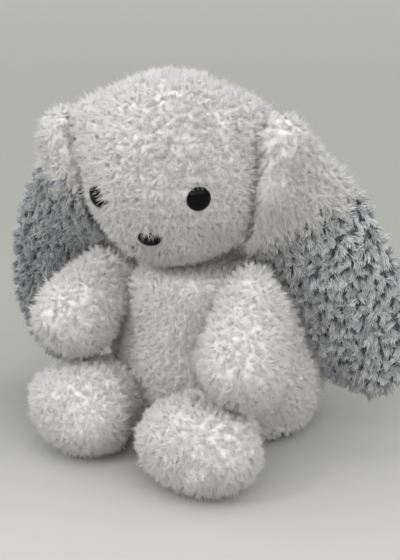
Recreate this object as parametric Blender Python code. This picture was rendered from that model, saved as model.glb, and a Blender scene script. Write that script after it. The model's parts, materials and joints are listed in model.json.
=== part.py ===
"""A sitting lop-eared bunny, crocheted from thick plush yarn and filled with fibre.

World frame: +Z up, the face looks towards -Y, the bunny's left is +X, and the origin is the middle of
the flat seat, on the floor. Every crocheted cover is a shell with an opening at its sewn end. Filling
shows through that opening and bears on the piece that the cover is sewn to. Each sewn joint is a round
end in a shallow round dimple, both centred on the joint's pivot, with a ring of sewing yarn round it.
"""

import math

import bpy
from mathutils import Matrix, Vector

MM = 0.001

# Clearances and fabric
GAP = 0.4 * MM  # between pieces that touch
COVER_WALL = 4.5 * MM  # crocheted yarn with its pile
YARN_RADIUS = 0.8 * MM  # sewing yarn
DIMPLE_DEPTH = 1.2 * MM  # how far a sewn end presses into the cover under it

# Torso, in level round sections along a spine that curves forward
TORSO_HEIGHT_TO_NECK = 99 * MM
TORSO_SEAT_RADIUS = 39 * MM
TORSO_RUMP_RADIUS = 58 * MM
TORSO_WAIST_RADIUS = 49 * MM
TORSO_CHEST_RADIUS = 43 * MM
SPINE_FORWARD = 24 * MM  # at the neck
NECK_BALL_RADIUS = 20 * MM  # the torso's rounded top
NECK_SEAM_SPACE = 4 * MM  # between that ball and the head's socket, for the seam
NECK_PLUG_RADIUS = 8.5 * MM  # torso filling that stands up into the head

# Head
HEAD_RADIUS = 45.5 * MM
HEAD_HALF_HEIGHT = 49.5 * MM
HEAD_FORWARD = 29 * MM  # head centre ahead of the neck's pivot
# head centre above the neck's pivot; a bigger neck or a wider head stands higher, so the socket stays as deep
HEAD_ABOVE_NECK = 27.9 * MM + 1.1 * NECK_BALL_RADIUS + 0.2 * HEAD_RADIUS
HEAD_YAW = math.radians(17.5)  # sewn on looking a little to its left
HEAD_ROLL = math.radians(-2.5)

# Safety eyes and nose, each a dome with a shank and a washer inside the head
EYE_RADIUS = 6 * MM
EYE_DOME_HEIGHT = 4.4 * MM
FACE_TURN = math.radians(-3)  # eyes and nose are set a little to the right of the head's middle
EYE_AZIMUTH = math.radians(37.3)  # from the nose
EYE_LATITUDE = math.radians(-11.5)
NOSE_HALF_WIDTH = 5.8 * MM
NOSE_HALF_HEIGHT = 4.4 * MM
NOSE_DOME_HEIGHT = 3.6 * MM
NOSE_LATITUDE = math.radians(-39.5)
FACE_RECESS = 2.0 * MM  # how deep a dome's back is pulled into the pile
DOME_EDGE = 0.8 * MM  # straight edge of a dome before it curves
SHANK_RADIUS = 1.8 * MM
SHANK_BEHIND_COVER = 5 * MM
WASHER_RADIUS = 5.5 * MM
WASHER_THICKNESS = 1.4 * MM

# Arms, measured along the arm from the shoulder pivot
ARM_ROOT_RADIUS = 11.5 * MM
ARM_LENGTH_TO_PAW = 47 * MM
ARM_WRIST_RADIUS = ARM_ROOT_RADIUS + 1 * MM
PAW_RADIUS = 22 * MM
SHOULDER_BELOW_NECK = 5 * MM
SHOULDER_AZIMUTH = math.radians(64)  # from straight ahead
ARM_OUT = {"left": math.radians(25), "right": math.radians(24)}  # sideways lean
ARM_DOWN = math.radians(40)  # below level
ARM_REST_SWING = {"left": 0.0, "right": math.radians(12)}

# Legs, measured along the leg from the hip pivot
LEG_ROOT_RADIUS = 15 * MM
LEG_LENGTH_TO_FOOT = 20 * MM
FOOT_RADIUS = 33 * MM
FOOT_TOE_LENGTH = 28 * MM
FOOT_HALF_HEIGHT = 24.5 * MM
FOOT_CENTRE_HEIGHT = 24 * MM
HIP_HEIGHT = 27 * MM
HIP_AZIMUTH = math.radians(32)
LEG_OUT = {"left": math.radians(0), "right": math.radians(6)}

# Ears: flattened crocheted tubes, white at the root and grey beyond
EAR_ROOT_RADIUS = 14 * MM
EAR_DROP = 152 * MM  # from root to tip
EAR_REACH_OUT = {"left": HEAD_RADIUS - 4.5 * MM, "right": HEAD_RADIUS + 0.5 * MM}
EAR_REACH_BACK = {"left": 50 * MM, "right": 70 * MM}
EAR_HALF_WIDTH = 32 * MM
EAR_HALF_THICKNESS = 8 * MM
EAR_ROOT_LATITUDE = {"left": math.radians(17), "right": math.radians(14)}
EAR_ROOT_AZIMUTH = math.radians(88)  # from straight ahead, so at the side
EAR_BOW_OUT = 2 * MM  # how far the middle stands out from the straight line to the tip
EAR_BOW_UP = 13 * MM
EAR_WHITE_SHARE = 0.23  # of the length

# Tail
TAIL_RADIUS = 15 * MM
TAIL_HEIGHT = 33 * MM

# Facets
ROUND = 24
LIMB_ROUND = 16
SMALL_ROUND = 14
STRAND_ROUND = 6
FACET = math.cos(math.pi / ROUND) ** 2  # how far a faceted ball's faces fall inside its radius

# Down the ear: share of the length, half-width towards the head, half-width away from it, half-thickness
EAR_SHAPE = [
    (0.0, EAR_ROOT_RADIUS, EAR_ROOT_RADIUS, EAR_ROOT_RADIUS),
    (0.07, EAR_ROOT_RADIUS, 1.1 * EAR_ROOT_RADIUS, 0.92 * EAR_ROOT_RADIUS),
    (0.16, 0.57 * EAR_HALF_WIDTH, 0.62 * EAR_HALF_WIDTH, 0.78 * EAR_ROOT_RADIUS),
    (EAR_WHITE_SHARE, 0.7 * EAR_HALF_WIDTH, 0.72 * EAR_HALF_WIDTH, 0.68 * EAR_ROOT_RADIUS),
    (0.34, 0.8 * EAR_HALF_WIDTH, 0.82 * EAR_HALF_WIDTH, 1.15 * EAR_HALF_THICKNESS),
    (0.45, 0.92 * EAR_HALF_WIDTH, 0.95 * EAR_HALF_WIDTH, EAR_HALF_THICKNESS),
    (0.62, EAR_HALF_WIDTH, EAR_HALF_WIDTH, EAR_HALF_THICKNESS),
    (0.78, 0.97 * EAR_HALF_WIDTH, 0.97 * EAR_HALF_WIDTH, 0.95 * EAR_HALF_THICKNESS),
    (0.9, 0.78 * EAR_HALF_WIDTH, 0.78 * EAR_HALF_WIDTH, 0.85 * EAR_HALF_THICKNESS),
    (0.97, 0.46 * EAR_HALF_WIDTH, 0.46 * EAR_HALF_WIDTH, 0.6 * EAR_HALF_THICKNESS),
]

UP = Vector((0, 0, 1))
SIDES = {"left": 1, "right": -1}


# ---------------------------------------------------------------- scene and materials


def clear_scene():
    for obj in list(bpy.data.objects):
        bpy.data.objects.remove(obj)


def make_material(name, colour, roughness):
    material = bpy.data.materials.new(name)
    material.use_nodes = True
    shader = material.node_tree.nodes["Principled BSDF"]
    shader.inputs["Base Color"].default_value = (*colour, 1)
    shader.inputs["Roughness"].default_value = roughness
    shader.inputs["Metallic"].default_value = 0
    return material


# ---------------------------------------------------------------- shapes


def smooth_line(points, steps):
    """Points on a Catmull-Rom curve through the given points, steps to each span."""
    points = [Vector(p) for p in points]
    ends = [points[0] * 2 - points[1], *points, points[-1] * 2 - points[-2]]
    line = []
    for i in range(len(points) - 1):
        a, b, c, d = ends[i : i + 4]
        for k in range(steps):
            t = k / steps
            bend = (a * 2 - b * 5 + c * 4 - d) * t**2 + (b * 3 - a - c * 3 + d) * t**3
            line.append((b * 2 + (c - a) * t + bend) / 2)
    return [*line, points[-1]]


def arc(radius, start, end, steps):
    """Points (radius from the axis, height) on an arc about the origin, angles from +Z."""
    turns = [start + (end - start) * k / steps for k in range(steps + 1)]
    return [Vector((radius * math.sin(t), radius * math.cos(t))) for t in turns]


def inset(profile, depth):
    """A profile of (radius, height), bottom to top on its outer side, moved inwards by depth.
    Ends that are on the axis stay on it, and points that would cross the axis are left out."""
    points = [Vector(p) for p in profile]
    moved = []
    for i, point in enumerate(points):
        before = points[max(i - 1, 0)]
        after = points[min(i + 1, len(points) - 1)]
        if point.x < 1e-7:
            moved.append(Vector((0, point.y + (depth if i == 0 else -depth))))
            continue
        first = (point - before).normalized() if i else (after - point).normalized()
        second = (after - point).normalized() if i < len(points) - 1 else first
        along = (first + second).normalized()
        reach = depth / max(along.dot(first), 0.5)
        shifted = point + Vector((-along.y, along.x)) * reach
        if shifted.x > 0.5 * MM:
            moved.append(shifted)
    return [tuple(p) for p in moved]


def make_object(name, verts, faces, material, smooth=True):
    mesh = bpy.data.meshes.new(name)
    mesh.from_pydata([tuple(v) for v in verts], [], faces)
    mesh.validate()
    if smooth:
        mesh.shade_smooth()
        mesh.set_sharp_from_angle(angle=math.radians(50))
    obj = bpy.data.objects.new(name, mesh)
    bpy.context.scene.collection.objects.link(obj)
    if material:
        obj.data.materials.append(material)
    return obj


def loft(name, rings, material, closed=False):
    """Skins rings of points. A ring of one point is a pole; closed joins the last ring to the first."""
    verts = [v for ring in rings for v in ring]
    starts = [sum(len(r) for r in rings[:i]) for i in range(len(rings))]
    faces = []
    for i in range(len(rings) - (0 if closed else 1)):
        j = (i + 1) % len(rings)
        a, b, na, nb = starts[i], starts[j], len(rings[i]), len(rings[j])
        for k in range(max(na, nb)):
            m = (k + 1) % max(na, nb)
            if na == 1:
                faces.append((a, b + m, b + k))
            elif nb == 1:
                faces.append((a + k, a + m, b))
            else:
                faces.append((a + k, a + m, b + m, b + k))
    if not closed and len(rings[0]) > 1:
        faces.append(tuple(reversed(range(len(rings[0])))))
    if not closed and len(rings[-1]) > 1:
        faces.append(tuple(starts[-1] + k for k in range(len(rings[-1]))))
    return make_object(name, verts, faces, material)


def turn_rings(profile, segments, squash=1.0):
    """Rings about +Z for a profile of (radius, height), bottom to top on its outer side."""
    rings = []
    for radius, height in profile:
        if radius < 1e-7:
            rings.append([Vector((0, 0, height))])
            continue
        deep = radius * squash
        turns = [2 * math.pi * k / segments for k in range(segments)]
        rings.append([Vector((radius * math.cos(a), deep * math.sin(a), height)) for a in turns])
    return rings


def turn(name, profile, segments, material, squash=1.0, closed=False):
    return loft(name, turn_rings(profile, segments, squash), material, closed)


def ball(name, radius, at, segments=ROUND):
    """A sphere for cutting with."""
    steps = segments // 2
    obj = turn(name, arc(radius, math.pi, 0, steps), segments, None)
    obj.location = at
    return obj


def torus(name, ring_radius, tube_radius, segments, material):
    """A ring about +Z."""
    rings = []
    for k in range(segments):
        a = 2 * math.pi * k / segments
        out = Vector((math.cos(a), math.sin(a), 0))
        tube = [2 * math.pi * m / STRAND_ROUND for m in range(STRAND_ROUND)]
        rings.append(
            [out * (ring_radius + tube_radius * math.cos(t)) - UP * tube_radius * math.sin(t) for t in tube]
        )
    return loft(name, rings, material, closed=True)


def cut(obj, cutter, name):
    """Cuts the cutter out of the object, and hides the cutter."""
    cutter.hide_render = True
    cutter.display_type = "WIRE"
    modifier = obj.modifiers.new(name, "BOOLEAN")
    modifier.operation = "DIFFERENCE"
    modifier.object = cutter


def mirror(vector, side):
    """A vector worked out for the left side, for this side."""
    return Vector((SIDES[side] * vector.x, vector.y, vector.z))


def put(obj, parent, matrix=None):
    obj.parent = parent
    if matrix is not None:
        obj.matrix_local = matrix
    return obj


def pivot(name, matrix, parent=None):
    """An empty on a joint's axis, for the moving pieces to hang from."""
    empty = bpy.data.objects.new(name, None)
    empty.empty_display_size = 10 * MM
    bpy.context.scene.collection.objects.link(empty)
    return put(empty, parent, matrix)


def place_in(parent):
    """The parent's place in the world, worked out from its chain of parents."""
    matrix = parent.matrix_basis.copy()
    while parent.parent:
        parent = parent.parent
        matrix = parent.matrix_basis @ matrix
    return matrix


def aim(origin, along, side_hint=UP):
    """A frame at origin with +Z along a direction and +Y as near side_hint as it can be."""
    z = along.normalized()
    y = (side_hint - z * side_hint.dot(z)).normalized()
    x = y.cross(z)
    return Matrix.Translation(origin) @ Matrix((x, y, z)).transposed().to_4x4()


# ---------------------------------------------------------------- where things are


def spine(height):
    """The middle of the torso's section at a height. Above the neck's pivot it goes straight up."""
    share = min(height / TORSO_HEIGHT_TO_NECK, 1)
    return Vector((0, -SPINE_FORWARD * share**2, height))


def torso_outline():
    """(height, radius) from the seat's edge up to the neck ball, outer side of the cover."""
    neck = TORSO_HEIGHT_TO_NECK
    ball_turn = math.radians(58)
    marks = [
        (0, TORSO_SEAT_RADIUS),
        (0.05 * neck, TORSO_SEAT_RADIUS + 0.62 * (TORSO_RUMP_RADIUS - TORSO_SEAT_RADIUS)),
        (0.15 * neck, TORSO_RUMP_RADIUS - 2 * MM),
        (0.27 * neck, TORSO_RUMP_RADIUS),
        (0.44 * neck, TORSO_RUMP_RADIUS - 3.5 * MM),
        (0.66 * neck, TORSO_WAIST_RADIUS),
        (0.86 * neck, TORSO_CHEST_RADIUS),
        (neck, TORSO_CHEST_RADIUS - 9 * MM),
        (neck + NECK_BALL_RADIUS * math.cos(ball_turn), NECK_BALL_RADIUS * math.sin(ball_turn)),
    ]
    line = smooth_line(marks, 2)
    cap = arc(NECK_BALL_RADIUS, ball_turn, 0, 4)[1:]
    return [(p.x, p.y) for p in line] + [(neck + p.y, p.x) for p in cap]


def torso_radius(height):
    outline = torso_outline()
    for (z0, r0), (z1, r1) in zip(outline, outline[1:]):
        if z0 <= height <= z1:
            return r0 + (r1 - r0) * (height - z0) / (z1 - z0)
    raise ValueError("that height isn't on the torso")


def torso_point(height, azimuth):
    """A point on the torso's cover and its outward normal. Azimuth is from straight ahead, towards +X."""
    out = Vector((math.sin(azimuth), -math.cos(azimuth), 0))
    step = 2 * MM
    at = spine(height) + out * torso_radius(height)
    above = spine(height + step) + out * torso_radius(height + step)
    below = spine(height - step) + out * torso_radius(height - step)
    along = Vector((math.cos(azimuth), math.sin(azimuth), 0))
    normal = along.cross(above - below).normalized()
    return at, normal if normal.dot(out) > 0 else -normal


def sewn_pivot(point, normal, root_radius):
    """The centre of a round sewn end that presses into the surface at point by DIMPLE_DEPTH."""
    return point + normal * (root_radius + GAP - DIMPLE_DEPTH)


def seam_ring(name, root_radius, frame, material, parent=None):
    """Sewing yarn between a round end and the cover under it, in a groove at the bottom of the dimple.
    frame is at the joint's pivot with +Z away from the cover. Returns the dimple and the groove."""
    drop = root_radius + GAP + YARN_RADIUS
    radius = 0.5 * root_radius
    half = YARN_RADIUS + GAP
    ring = torus(name, radius, YARN_RADIUS, ROUND, material)
    ring.data.transform(Matrix.Translation((0, 0, -drop)))
    groove = turn(
        f"cut_{name}_groove",
        [
            (radius - half, -drop - half),
            (radius + half, -drop - half),
            (radius + half, -0.5 * root_radius),
            (radius - half, -0.5 * root_radius),
        ],
        ROUND,
        None,
        closed=True,
    )
    dimple = ball(f"cut_{name}_dimple", root_radius + GAP, (0, 0, 0))
    for obj in (ring, groove, dimple):
        put(obj, parent, frame)
    return [dimple, groove]


NECK_PIVOT = spine(TORSO_HEIGHT_TO_NECK)
HEAD_CENTRE = NECK_PIVOT + Vector((0, -HEAD_FORWARD, HEAD_ABOVE_NECK))
NECK_AXIS = (HEAD_CENTRE - NECK_PIVOT).normalized()
HEAD_TURNED = Matrix.Rotation(HEAD_YAW, 4, "Z") @ Matrix.Rotation(HEAD_ROLL, 4, "Y")
HEAD_SEAT = Matrix.Translation(HEAD_TURNED.inverted() @ (HEAD_CENTRE - NECK_PIVOT))  # from neck pivot to head
SOCKET_RADIUS = NECK_BALL_RADIUS + NECK_SEAM_SPACE


def head_point(azimuth, latitude):
    """A point on the head's cover, in the head's frame, and its outward normal."""
    out = Vector(
        (math.sin(azimuth) * math.cos(latitude), -math.cos(azimuth) * math.cos(latitude), math.sin(latitude))
    )
    level, tall = HEAD_RADIUS, HEAD_HALF_HEIGHT
    reach = 1 / math.sqrt((out.x**2 + out.y**2) / level**2 + out.z**2 / tall**2)
    at = out * reach
    normal = Vector((at.x / level**2, at.y / level**2, at.z / tall**2)).normalized()
    return at, normal


# ---------------------------------------------------------------- torso and tail


def torso_solid(name, depth, material):
    """The torso's shape, drawn in by depth. Rings are level, so the seat is flat on the floor."""
    profile = [(0, 0), *((r, z) for z, r in torso_outline())]
    profile[-1] = (0, profile[-1][1])
    if depth:
        profile = inset(profile, depth)
    rings = []
    for radius, height in profile:
        centre = spine(height)
        if radius < 1e-7:
            rings.append([centre])
            continue
        turns = [2 * math.pi * k / ROUND for k in range(ROUND)]
        rings.append([centre + Vector((radius * math.cos(a), radius * math.sin(a), 0)) for a in turns])
    return loft(name, rings, material)


def make_torso(fabric, filling, cutters):
    cover = torso_solid("torso_cover", 0, fabric)
    cut(cover, torso_solid("cut_torso_cavity", COVER_WALL, None), "cavity")
    hole_top = NECK_BALL_RADIUS + 5 * MM
    hole = turn(
        "cut_neck_hole",
        [(0, 0), (NECK_PLUG_RADIUS + GAP, 0), (NECK_PLUG_RADIUS + GAP, hole_top), (0, hole_top)],
        LIMB_ROUND,
        None,
    )
    put(hole, None, aim(NECK_PIVOT, NECK_AXIS))
    cut(cover, hole, "neck_hole")
    for cutter in cutters:
        cut(cover, cutter, cutter.name)

    fill = torso_solid("torso_filling", COVER_WALL + GAP, filling)
    reach = SOCKET_RADIUS * FACET - GAP
    lean = math.asin(NECK_PLUG_RADIUS / reach)
    cap = [(p.x, p.y) for p in arc(reach, lean, 0, 3)]
    plug = turn("join_neck_plug", [(0, 0), (NECK_PLUG_RADIUS, 0), *cap], LIMB_ROUND, None)
    put(plug, None, aim(NECK_PIVOT, NECK_AXIS))
    plug.hide_render = True
    plug.display_type = "WIRE"
    union = fill.modifiers.new("neck_plug", "BOOLEAN")
    union.operation = "UNION"
    union.object = plug


def make_tail(fabric, filling, yarn):
    point, normal = torso_point(TAIL_HEIGHT, math.pi)
    centre = sewn_pivot(point, normal, TAIL_RADIUS)
    frame = pivot("tail_frame", aim(centre, normal))
    opening = 6 * MM
    start = math.pi - math.asin(opening / TAIL_RADIUS)
    inner = TAIL_RADIUS - COVER_WALL
    inner_start = math.pi - math.asin(opening / inner)
    outside = [(p.x, p.y) for p in arc(TAIL_RADIUS, start, 0, 7)]
    inside = [(p.x, p.y) for p in arc(inner, 0, inner_start, 5)]
    put(cup("tail_cover", outside, inside, SMALL_ROUND, fabric), frame)
    fill = [(p.x, p.y) for p in arc(inner - GAP, math.pi - math.asin((opening - GAP) / (inner - GAP)), 0, 5)]
    narrow = math.pi - math.asin((opening - GAP) / TAIL_RADIUS)
    seat = [(p.x, p.y) for p in arc(TAIL_RADIUS, math.pi, narrow, 1)]
    put(turn("tail_filling", [*seat, *fill], SMALL_ROUND, filling), frame)
    return seam_ring("tail_seam", TAIL_RADIUS, aim(centre, normal), yarn)


def cup(name, outside, inside, segments, material, squash=1.0):
    """A turned shell: its outer side from the rim to the far pole, then back down its inner side."""
    outer = turn_rings(outside, segments, squash)
    inner = turn_rings(inside, segments, squash)
    return shell(name, outer, inner, material)


def shell(name, outer, inner, material):
    """Outer rings run from the rim to the far pole, inner rings from the pole back to the rim."""
    verts, faces = [], []

    def add(rings):
        starts = []
        for ring in rings:
            starts.append(len(verts))
            verts.extend(ring)
        return starts

    def skin(rings, starts):
        for i in range(len(rings) - 1):
            a, b, na, nb = starts[i], starts[i + 1], len(rings[i]), len(rings[i + 1])
            for k in range(max(na, nb)):
                m = (k + 1) % max(na, nb)
                if na == 1:
                    faces.append((a, b + m, b + k))
                elif nb == 1:
                    faces.append((a + k, a + m, b))
                else:
                    faces.append((a + k, a + m, b + m, b + k))

    outer_starts = add(outer)
    skin(outer, outer_starts)
    inner_starts = add(inner)
    skin(inner, inner_starts)
    rim_in, rim_out, count = inner_starts[-1], outer_starts[0], len(outer[0])
    for k in range(count):
        m = (k + 1) % count
        faces.append((rim_in + k, rim_in + m, rim_out + m, rim_out + k))
    return make_object(name, verts, faces, material)


# ---------------------------------------------------------------- arms and legs


def limb(name, root_radius, marks, squash, frame, fabric, filling):
    """A cover and its filling, turned about +Z from the root ball at the origin to the limb's far end.
    marks are (radius, height) from beside the root ball to the last point before the pole."""
    opening = 0.5 * root_radius
    start = math.pi - math.asin(opening / root_radius)
    root = [(p.x, p.y) for p in arc(root_radius, start, math.pi / 2, 3)]
    outside = root + [(p.x, p.y) for p in smooth_line([root[-1], *marks], 2)][1:]
    inside = [(r, z) for r, z in inset(outside, COVER_WALL) if z > 0 and (r > opening or r == 0)]
    throat = [(opening, root[0][1]), (opening, 0.5 * root[0][1])]

    def squashed(profile):
        """Rings that are round up to the pivot, where they turn in the dimple, and squashed beyond it."""
        rings = []
        for radius, height in profile:
            share = min(1, max(0, height / root_radius))
            rings += turn_rings([(radius, height)], LIMB_ROUND, 1 + (squash - 1) * share)
        return rings

    wall = squashed([throat[1], *inside])
    cover = put(shell(name + "_cover", squashed(outside), list(reversed(wall)), fabric), frame)

    narrow = opening - GAP
    floor_arc = arc(root_radius, math.pi, math.pi - math.asin(narrow / root_radius), 2)
    fill = [(p.x, p.y) for p in floor_arc] + [(narrow, throat[1][1])]
    fill += [(r, z) for r, z in inset(inside, GAP) if r > narrow or r == 0]
    put(loft(name + "_filling", squashed(fill), filling), frame)
    return cover


def make_arm(side, fabric, filling, yarn):
    height = TORSO_HEIGHT_TO_NECK - SHOULDER_BELOW_NECK
    point, normal = torso_point(height, SHOULDER_AZIMUTH)
    shoulder = sewn_pivot(point, normal, ARM_ROOT_RADIUS)
    along = Vector(
        (
            math.sin(ARM_OUT[side]) * math.cos(ARM_DOWN),
            -math.cos(ARM_OUT[side]) * math.cos(ARM_DOWN),
            -math.sin(ARM_DOWN),
        )
    )
    along = Matrix.Rotation(-ARM_REST_SWING[side], 3, normal) @ along
    shoulder, normal, along = (mirror(v, side) for v in (shoulder, normal, along))
    frame = pivot(f"arm_{side}_swing", aim(shoulder, along))
    reach, paw = ARM_LENGTH_TO_PAW, PAW_RADIUS
    marks = [
        (ARM_WRIST_RADIUS, 0.16 * reach),
        (ARM_WRIST_RADIUS + 0.3 * (paw - ARM_WRIST_RADIUS), 0.36 * reach),
        (ARM_WRIST_RADIUS + 0.78 * (paw - ARM_WRIST_RADIUS), 0.64 * reach),
        (paw, reach),
        (0.83 * paw, reach + 0.55 * paw),
        (0.5 * paw, reach + 0.87 * paw),
        (0, reach + paw),
    ]
    limb(f"arm_{side}", ARM_ROOT_RADIUS, marks, 1.0, frame, fabric, filling)
    return seam_ring(f"arm_{side}_seam", ARM_ROOT_RADIUS, aim(shoulder, normal), yarn)


def make_leg(side, fabric, filling, yarn):
    point, normal = torso_point(HIP_HEIGHT, HIP_AZIMUTH)
    hip = sewn_pivot(point, normal, LEG_ROOT_RADIUS)
    along = Vector((math.sin(LEG_OUT[side]), -math.cos(LEG_OUT[side]), 0)) * LEG_LENGTH_TO_FOOT
    along.z = FOOT_CENTRE_HEIGHT - hip.z
    hip, normal, along = (mirror(v, side) for v in (hip, normal, along))
    frame = pivot(f"leg_{side}_splay", aim(hip, along))
    reach, foot = along.length, FOOT_RADIUS
    toe = FOOT_TOE_LENGTH
    marks = [
        (0.75 * foot, 0.3 * reach),
        (0.93 * foot, 0.65 * reach),
        (foot, reach + 0.06 * toe),
        (0.86 * foot, reach + 0.55 * toe),
        (0.52 * foot, reach + 0.88 * toe),
        (0, reach + toe),
    ]
    squash = FOOT_HALF_HEIGHT / FOOT_RADIUS
    cover = limb(f"leg_{side}", LEG_ROOT_RADIUS, marks, squash, frame, fabric, filling)
    floor = turn(f"cut_floor_{side}", [(0, -40 * MM), (90 * MM, -40 * MM), (90 * MM, 0), (0, 0)], 4, None)
    floor.location = (hip.x, hip.y, 0)
    cut(cover, floor, "floor")
    return seam_ring(f"leg_{side}_seam", LEG_ROOT_RADIUS, aim(hip, normal), yarn)


# ---------------------------------------------------------------- head and face


def ellipsoid(name, inset, material):
    profile = [
        ((HEAD_RADIUS - inset) * math.sin(t), (HEAD_HALF_HEIGHT - inset) * math.cos(t))
        for t in (math.pi * (1 - k / 12) for k in range(13))
    ]
    profile = [(0 if r < 1e-6 else r, z) for r, z in profile]
    return turn(name, profile, ROUND, material)


def face_piece(name, azimuth, latitude, size, frame, plastic, washer, head, fill):
    """A domed eye or nose on a shank through the cover, held by a washer inside, with the holes they need.
    size is (half-width, half-height, dome's height)."""
    half_width, half_height, dome = size
    point, normal = head_point(azimuth, latitude)
    stand = pivot(f"{name}_frame", HEAD_SEAT @ aim(point - normal * FACE_RECESS, normal), frame)
    squash = half_height / half_width
    hollow = HEAD_RADIUS - COVER_WALL
    curve_away = WASHER_RADIUS**2 / (2 * hollow) + hollow * (1 - math.cos(math.pi / ROUND))
    behind = COVER_WALL - FACE_RECESS + curve_away
    end = behind + 2 * GAP + WASHER_THICKNESS + SHANK_BEHIND_COVER
    curve = [
        (half_width * math.cos(t), DOME_EDGE + (dome - DOME_EDGE) * math.sin(t))
        for t in (math.pi / 2 * k / 5 for k in range(6))
    ]
    curve[-1] = (0, dome)
    rings = turn_rings([(0, -end), (SHANK_RADIUS * 0.6, -end), (SHANK_RADIUS, -end + 1 * MM)], SMALL_ROUND)
    rings += turn_rings([(SHANK_RADIUS, GAP)], SMALL_ROUND)
    rings += turn_rings([(half_width, GAP), *curve], SMALL_ROUND, squash)
    put(loft(name, rings, plastic), stand)

    hub = SHANK_RADIUS + GAP
    near = -behind - 2 * GAP
    far = near - WASHER_THICKNESS
    profile = [(hub, far), (WASHER_RADIUS, far), (WASHER_RADIUS, near), (hub, near)]
    put(turn(f"{name}_washer", profile, SMALL_ROUND, washer, closed=True), stand)

    wide = half_width + GAP
    profile = [(0, 0), (wide, 0), (wide + GAP, 2 * dome), (0, 2 * dome)]
    pocket = turn(f"cut_{name}_pocket", profile, SMALL_ROUND, None, squash)
    profile = [(0, -2 * behind), (hub, -2 * behind), (hub, GAP), (0, GAP)]
    bore = turn(f"cut_{name}_bore", profile, SMALL_ROUND, None)
    depth = end + GAP
    wide = WASHER_RADIUS + GAP
    room = turn(f"cut_{name}_room", [(0, -depth), (wide, -depth), (wide, 0), (0, 0)], SMALL_ROUND, None)
    for cutter, target in ((pocket, head), (bore, head), (room, fill)):
        put(cutter, stand)
        cut(target, cutter, cutter.name)


def make_head(fabric, filling, yarn, plastic, washer, neck_frame):
    turned = Matrix.Translation(NECK_PIVOT) @ HEAD_TURNED
    frame = pivot("head_nod", place_in(neck_frame).inverted() @ turned, neck_frame)
    cover = put(ellipsoid("head_cover", 0, fabric), frame, HEAD_SEAT)
    cut(cover, put(ellipsoid("cut_head_cavity", COVER_WALL, None), frame, HEAD_SEAT), "cavity")
    cut(cover, ball("cut_neck_socket", SOCKET_RADIUS, NECK_PIVOT), "neck_socket")
    fill = put(ellipsoid("head_filling", COVER_WALL + GAP, filling), frame, HEAD_SEAT)
    cut(fill, ball("cut_neck_socket_filling", SOCKET_RADIUS + GAP, NECK_PIVOT), "neck_socket")
    eye = (EYE_RADIUS, EYE_RADIUS, EYE_DOME_HEIGHT)
    nose = (NOSE_HALF_WIDTH, NOSE_HALF_HEIGHT, NOSE_DOME_HEIGHT)
    hosts = (frame, plastic, washer, cover, fill)
    for side, sign in SIDES.items():
        face_piece(f"eye_{side}", FACE_TURN + sign * EYE_AZIMUTH, EYE_LATITUDE, eye, *hosts)
    face_piece("nose", FACE_TURN, NOSE_LATITUDE, nose, *hosts)
    return frame, cover


def make_neck_seam(yarn):
    """The ring that sews head to torso, in the space between the neck ball and the head's socket."""
    frame = pivot("head_turn", aim(NECK_PIVOT, NECK_AXIS))
    away = NECK_BALL_RADIUS + NECK_SEAM_SPACE / 2
    radius = 0.5 * away
    ring = torus("neck_seam", radius, YARN_RADIUS, ROUND, yarn)
    ring.data.transform(Matrix.Translation((0, 0, math.sqrt(away**2 - radius**2))))
    put(ring, frame)
    return frame


# ---------------------------------------------------------------- ears


def ear_sections(side):
    """Rings down an ear in the head's frame: centre, unit vectors across and through, half-widths,
    half-thickness. The ear's own line is worked out for the left side and mirrored."""
    point, normal = head_point(EAR_ROOT_AZIMUTH, EAR_ROOT_LATITUDE[side])
    root = sewn_pivot(point, normal, EAR_ROOT_RADIUS)
    tip = root + Vector((EAR_REACH_OUT[side], EAR_REACH_BACK[side], -EAR_DROP))
    middle = (root + tip) / 2 + Vector((2 * EAR_BOW_OUT, 0, 2 * EAR_BOW_UP))
    sections = []
    for t, inner, outer, thick in EAR_SHAPE:
        centre = root * (1 - t) ** 2 + middle * 2 * t * (1 - t) + tip * t * t
        along = ((middle - root) * (1 - t) + (tip - middle) * t).normalized()
        through = Vector((0, -1, 0)) + along * along.y
        through.normalize()
        across = through.cross(along)
        across = across if across.x > 0 else -across
        sections.append((centre, across, through, inner, outer, thick))
    mirrored = [(*(mirror(v, side) for v in section[:3]), *section[3:]) for section in sections]
    return mirror(root, side), mirror(normal, side), mirrored


def ear_ring(section, shrink=1.0):
    centre, across, through, inner, outer, thick = section
    ring = []
    for k in range(LIMB_ROUND):
        a = 2 * math.pi * k / LIMB_ROUND
        wide = outer if math.cos(a) > 0 else inner
        ring.append(centre + (across * wide * math.cos(a) + through * thick * math.sin(a)) * shrink)
    return ring


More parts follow.
